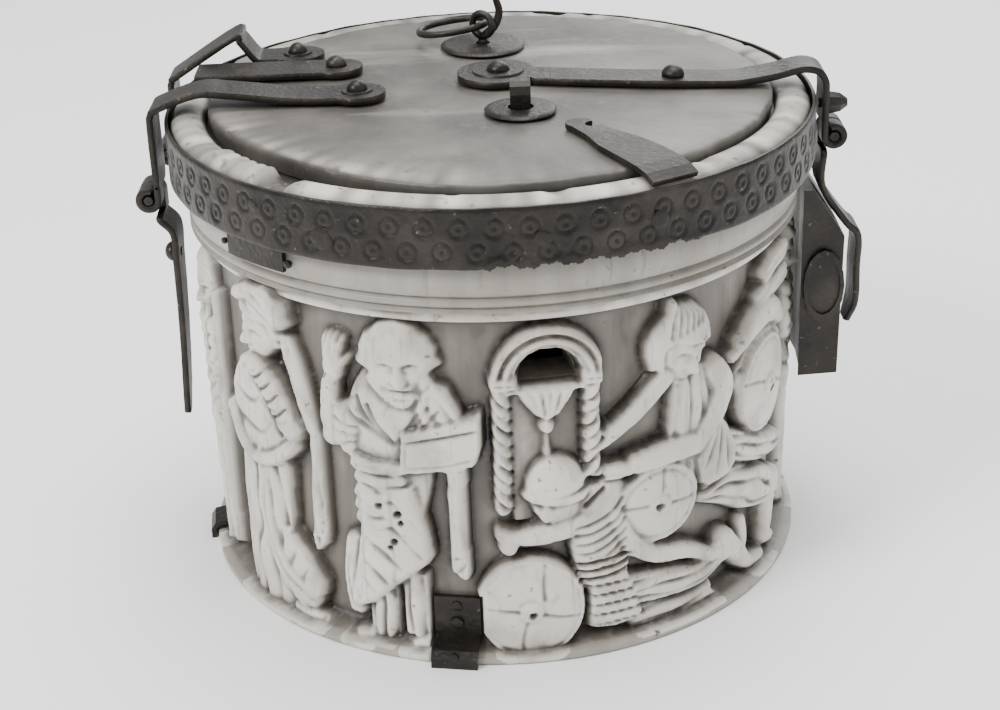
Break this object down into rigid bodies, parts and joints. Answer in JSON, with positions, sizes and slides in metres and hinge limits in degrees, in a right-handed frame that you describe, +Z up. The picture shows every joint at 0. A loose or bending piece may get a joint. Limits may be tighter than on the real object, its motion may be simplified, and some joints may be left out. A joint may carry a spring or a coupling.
{
  "type": "ivory pyxis",
  "caption": "Round lidded ivory box carved all round with figures in high relief, with bronze band, strap hinges, hasp and lock case.",
  "frame": {"origin": "centre of the underside, in the plane that the box stands on", "axes": "+Z up along the axis of the box, -Y towards the carved front, -X towards the hinges and +X towards the hasp and lock"},
  "size_m": [0.1401, 0.1244, 0.1033],
  "materials": {
    "carved_ivory": "old polished ivory with dark stain in the recesses",
    "lid_ivory": "scuffed and darkened ivory with pale worn edges",
    "dark_bronze": "dark worn bronze"
  },
  "bodies": {
    "box": {"pyxis_body": "carved_ivory", "floor_disc": "carved_ivory", "hinge_pin_front": "dark_bronze", "hinge_pin_back": "dark_bronze", "hinge_tail_front": "dark_bronze", "hinge_tail_back": "dark_bronze", "tail_rivet_front": "dark_bronze", "tail_rivet_back": "dark_bronze", "lock_case": "dark_bronze", "base_bracket": "dark_bronze", "side_bracket": "dark_bronze", "neck_tab": "dark_bronze"},
    "lid": {"lid_ring": "lid_ivory", "lid_disc": "lid_ivory", "lid_band": "dark_bronze", "lid_clip": "dark_bronze", "hinge_strap_front": "dark_bronze", "hinge_strap_back": "dark_bronze", "hinge_rivet_front": "dark_bronze", "hinge_rivet_back": "dark_bronze", "tie_plate": "dark_bronze", "tie_rivet": "dark_bronze", "hasp_strap": "dark_bronze", "hasp_rivet_inner": "dark_bronze", "hasp_rivet_outer": "dark_bronze", "hasp_ball_rivet": "dark_bronze", "hasp_pin": "dark_bronze", "eye_washer": "dark_bronze", "eye_pin": "dark_bronze", "staple_washer": "dark_bronze", "staple": "dark_bronze"},
    "hasp": {"hasp": "dark_bronze"},
    "handle": {"handle_ring": "dark_bronze"}
  },
  "joints": [
    {"name": "lid_hinge", "type": "hinge", "parent": "box", "child": "lid", "pos_m": [-0.066, 0, 0.074], "axis": [0, -1, 0], "range_deg": [0, 110]},
    {"name": "hasp_hinge", "type": "hinge", "parent": "lid", "child": "hasp", "pos_m": [0.0654, -0.003, 0.0814], "axis": [0, -1, 0], "range_deg": [0, 120]},
    {"name": "handle_swing", "type": "hinge", "parent": "lid", "child": "handle", "pos_m": [-0.001, 0.0275, 0.0963], "axis": [0.5299, 0.848, 0], "range_deg": [0, 150]}
  ]
}
